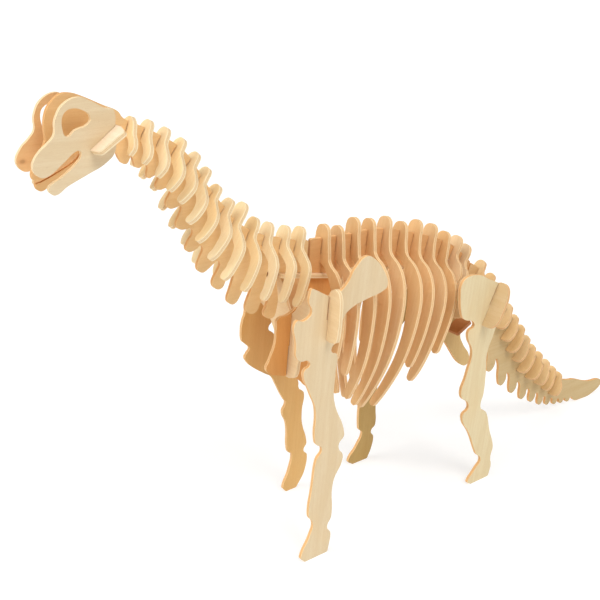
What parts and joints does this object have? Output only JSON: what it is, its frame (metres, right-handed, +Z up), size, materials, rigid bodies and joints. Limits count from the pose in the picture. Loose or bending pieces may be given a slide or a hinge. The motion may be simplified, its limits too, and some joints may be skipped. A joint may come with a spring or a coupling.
{
  "type": "wooden 3d jigsaw dinosaur",
  "caption": "Plywood jigsaw model of a long-necked dinosaur skeleton: flat die-cut plates cross-lapped into head, neck, ribs, tail and four legs.",
  "frame": {"origin": "on the floor under the middle of the model's bounding box", "axes": "+Z up; snout towards -X and tail towards +X; the animal's left side towards -Y"},
  "size_m": [0.385, 0.0766, 0.2385],
  "materials": {
    "birch_plywood": "unfinished sanded plywood"
  },
  "bodies": {
    "skeleton_frame": {"neck_plate": "birch_plywood", "body_plate": "birch_plywood", "tail_plate": "birch_plywood", "shoulder_bar": "birch_plywood", "hip_bar": "birch_plywood", "chest_plate": "birch_plywood", "pelvis_plate": "birch_plywood", "pelvis_shelf": "birch_plywood", "shoulder_cross_plate": "birch_plywood", "hip_cross_plate": "birch_plywood", "cheek_bar": "birch_plywood"},
    "neck_vertebra_01": {"neck_vertebra_01": "birch_plywood"},
    "neck_vertebra_02": {"neck_vertebra_02": "birch_plywood"},
    "neck_vertebra_03": {"neck_vertebra_03": "birch_plywood"},
    "neck_vertebra_04": {"neck_vertebra_04": "birch_plywood"},
    "neck_vertebra_05": {"neck_vertebra_05": "birch_plywood"},
    "neck_vertebra_06": {"neck_vertebra_06": "birch_plywood"},
    "neck_vertebra_07": {"neck_vertebra_07": "birch_plywood"},
    "neck_vertebra_08": {"neck_vertebra_08": "birch_plywood"},
    "neck_vertebra_09": {"neck_vertebra_09": "birch_plywood"},
    "neck_vertebra_10": {"neck_vertebra_10": "birch_plywood"},
    "neck_vertebra_11": {"neck_vertebra_11": "birch_plywood"},
    "neck_vertebra_12": {"neck_vertebra_12": "birch_plywood"},
    "neck_vertebra_13": {"neck_vertebra_13": "birch_plywood"},
    "rib_01": {"rib_01": "birch_plywood"},
    "rib_02": {"rib_02": "birch_plywood"},
    "rib_03": {"rib_03": "birch_plywood"},
    "rib_04": {"rib_04": "birch_plywood"},
    "rib_05": {"rib_05": "birch_plywood"},
    "rib_06": {"rib_06": "birch_plywood"},
    "rib_07": {"rib_07": "birch_plywood"},
    "rib_08": {"rib_08": "birch_plywood"},
    "rib_09": {"rib_09": "birch_plywood"},
    "rib_10": {"rib_10": "birch_plywood"},
    "rib_11": {"rib_11": "birch_plywood"},
    "tail_vertebra_01": {"tail_vertebra_01": "birch_plywood"},
    "tail_vertebra_02": {"tail_vertebra_02": "birch_plywood"},
    "tail_vertebra_03": {"tail_vertebra_03": "birch_plywood"},
    "tail_vertebra_04": {"tail_vertebra_04": "birch_plywood"},
    "tail_vertebra_05": {"tail_vertebra_05": "birch_plywood"},
    "tail_vertebra_06": {"tail_vertebra_06": "birch_plywood"},
    "tail_vertebra_07": {"tail_vertebra_07": "birch_plywood"},
    "tail_vertebra_08": {"tail_vertebra_08": "birch_plywood"},
    "tail_vertebra_09": {"tail_vertebra_09": "birch_plywood"},
    "tail_vertebra_10": {"tail_vertebra_10": "birch_plywood"},
    "tail_vertebra_11": {"tail_vertebra_11": "birch_plywood"},
    "front_leg_left": {"front_leg_left": "birch_plywood"},
    "front_leg_right": {"front_leg_right": "birch_plywood"},
    "hind_leg_left": {"hind_leg_left": "birch_plywood"},
    "hind_leg_right": {"hind_leg_right": "birch_plywood"},
    "skull_left": {"skull_left": "birch_plywood"},
    "skull_right": {"skull_right": "birch_plywood"}
  },
  "joints": [
    {"name": "neck_vertebra_01_lift", "type": "slide", "parent": "skeleton_frame", "child": "neck_vertebra_01", "axis": [0.4067, 0, 0.9135], "range_m": [0, 0.0083]},
    {"name": "neck_vertebra_02_lift", "type": "slide", "parent": "skeleton_frame", "child": "neck_vertebra_02", "axis": [0.515, 0, 0.8572], "range_m": [0, 0.0086]},
    {"name": "neck_vertebra_03_lift", "type": "slide", "parent": "skeleton_frame", "child": "neck_vertebra_03", "axis": [0.5592, 0, 0.829], "range_m": [0, 0.0091]},
    {"name": "neck_vertebra_04_lift", "type": "slide", "parent": "skeleton_frame", "child": "neck_vertebra_04", "axis": [0.6428, 0, 0.766], "range_m": [0, 0.0096]},
    {"name": "neck_vertebra_05_lift", "type": "slide", "parent": "skeleton_frame", "child": "neck_vertebra_05", "axis": [0.7071, 0, 0.7071], "range_m": [0, 0.0096]},
    {"name": "neck_vertebra_06_lift", "type": "slide", "parent": "skeleton_frame", "child": "neck_vertebra_06", "axis": [0.6947, 0, 0.7193], "range_m": [0, 0.0096]},
    {"name": "neck_vertebra_07_lift", "type": "slide", "parent": "skeleton_frame", "child": "neck_vertebra_07", "axis": [0.6947, 0, 0.7193], "range_m": [0, 0.0096]},
    {"name": "neck_vertebra_08_lift", "type": "slide", "parent": "skeleton_frame", "child": "neck_vertebra_08", "axis": [0.6691, 0, 0.7431], "range_m": [0, 0.0096]},
    {"name": "neck_vertebra_09_lift", "type": "slide", "parent": "skeleton_frame", "child": "neck_vertebra_09", "axis": [0.5736, 0, 0.8192], "range_m": [0, 0.0096]},
    {"name": "neck_vertebra_10_lift", "type": "slide", "parent": "skeleton_frame", "child": "neck_vertebra_10", "axis": [0.4695, 0, 0.8829], "range_m": [0, 0.0096]},
    {"name": "neck_vertebra_11_lift", "type": "slide", "parent": "skeleton_frame", "child": "neck_vertebra_11", "axis": [0.3584, 0, 0.9336], "range_m": [0, 0.0096]},
    {"name": "neck_vertebra_12_lift", "type": "slide", "parent": "skeleton_frame", "child": "neck_vertebra_12", "axis": [0.342, 0, 0.9397], "range_m": [0, 0.0096]},
    {"name": "neck_vertebra_13_lift", "type": "slide", "parent": "skeleton_frame", "child": "neck_vertebra_13", "axis": [0.342, 0, 0.9397], "range_m": [0, 0.0096]},
    {"name": "rib_01_lift", "type": "slide", "parent": "skeleton_frame", "child": "rib_01", "axis": [0.1219, 0, 0.9925], "range_m": [0, 0.016]},
    {"name": "rib_02_lift", "type": "slide", "parent": "skeleton_frame", "child": "rib_02", "axis": [0.1219, 0, 0.9925], "range_m": [0, 0.016]},
    {"name": "rib_03_lift", "type": "slide", "parent": "skeleton_frame", "child": "rib_03", "axis": [0.1219, 0, 0.9925], "range_m": [0, 0.016]},
    {"name": "rib_04_lift", "type": "slide", "parent": "skeleton_frame", "child": "rib_04", "axis": [0.1392, 0, 0.9903], "range_m": [0, 0.016]},
    {"name": "rib_05_lift", "type": "slide", "parent": "skeleton_frame", "child": "rib_05", "axis": [0.1908, 0, 0.9816], "range_m": [0, 0.016]},
    {"name": "rib_06_lift", "type": "slide", "parent": "skeleton_frame", "child": "rib_06", "axis": [0.225, 0, 0.9744], "range_m": [0, 0.016]},
    {"name": "rib_07_lift", "type": "slide", "parent": "skeleton_frame", "child": "rib_07", "axis": [0.2588, 0, 0.9659], "range_m": [0, 0.016]},
    {"name": "rib_08_lift", "type": "slide", "parent": "skeleton_frame", "child": "rib_08", "axis": [0.309, 0, 0.9511], "range_m": [0, 0.016]},
    {"name": "rib_09_lift", "type": "slide", "parent": "skeleton_frame", "child": "rib_09", "axis": [0.3584, 0, 0.9336], "range_m": [0, 0.016]},
    {"name": "rib_10_lift", "type": "slide", "parent": "skeleton_frame", "child": "rib_10", "axis": [0.4384, 0, 0.8988], "range_m": [0, 0.014]},
    {"name": "rib_11_lift", "type": "slide", "parent": "skeleton_frame", "child": "rib_11", "axis": [0.515, 0, 0.8572], "range_m": [0, 0.014]},
    {"name": "tail_vertebra_01_lift", "type": "slide", "parent": "skeleton_frame", "child": "tail_vertebra_01", "axis": [0.6018, 0, 0.7986], "range_m": [0, 0.0156]},
    {"name": "tail_vertebra_02_lift", "type": "slide", "parent": "skeleton_frame", "child": "tail_vertebra_02", "axis": [0.6691, 0, 0.7431], "range_m": [0, 0.0156]},
    {"name": "tail_vertebra_03_lift", "type": "slide", "parent": "skeleton_frame", "child": "tail_vertebra_03", "axis": [0.7314, 0, 0.682], "range_m": [0, 0.015]},
    {"name": "tail_vertebra_04_lift", "type": "slide", "parent": "skeleton_frame", "child": "tail_vertebra_04", "axis": [0.7431, 0, 0.6691], "range_m": [0, 0.0164]},
    {"name": "tail_vertebra_05_lift", "type": "slide", "parent": "skeleton_frame", "child": "tail_vertebra_05", "axis": [0.7547, 0, 0.6561], "range_m": [0, 0.0172]},
    {"name": "tail_vertebra_06_lift", "type": "slide", "parent": "skeleton_frame", "child": "tail_vertebra_06", "axis": [0.7547, 0, 0.6561], "range_m": [0, 0.0164]},
    {"name": "tail_vertebra_07_lift", "type": "slide", "parent": "skeleton_frame", "child": "tail_vertebra_07", "axis": [0.7431, 0, 0.6691], "range_m": [0, 0.0182]},
    {"name": "tail_vertebra_08_lift", "type": "slide", "parent": "skeleton_frame", "child": "tail_vertebra_08", "axis": [0.7193, 0, 0.6947], "range_m": [0, 0.017]},
    {"name": "tail_vertebra_09_lift", "type": "slide", "parent": "skeleton_frame", "child": "tail_vertebra_09", "axis": [0.7071, 0, 0.7071], "range_m": [0, 0.0154]},
    {"name": "tail_vertebra_10_lift", "type": "slide", "parent": "skeleton_frame", "child": "tail_vertebra_10", "axis": [0.682, 0, 0.7314], "range_m": [0, 0.0148]},
    {"name": "tail_vertebra_11_lift", "type": "slide", "parent": "skeleton_frame", "child": "tail_vertebra_11", "axis": [0.6428, 0, 0.766], "range_m": [0, 0.0144]},
    {"name": "front_leg_left_drop", "type": "slide", "parent": "skeleton_frame", "child": "front_leg_left", "axis": [-0.0958, 0, -0.9954], "range_m": [0, 0.026]},
    {"name": "front_leg_right_drop", "type": "slide", "parent": "skeleton_frame", "child": "front_leg_right", "axis": [-0.0958, 0, -0.9954], "range_m": [0, 0.026]},
    {"name": "hind_leg_left_drop", "type": "slide", "parent": "skeleton_frame", "child": "hind_leg_left", "axis": [-0.454, 0, -0.891], "range_m": [0, 0.026]},
    {"name": "hind_leg_right_drop", "type": "slide", "parent": "skeleton_frame", "child": "hind_leg_right", "axis": [-0.454, 0, -0.891], "range_m": [0, 0.026]},
    {"name": "skull_left_pull", "type": "slide", "parent": "skeleton_frame", "child": "skull_left", "axis": [-0.809, 0, -0.5878], "range_m": [0, 0.012]},
    {"name": "skull_right_pull", "type": "slide", "parent": "skeleton_frame", "child": "skull_right", "axis": [-0.809, 0, -0.5878], "range_m": [0, 0.012]}
  ]
}
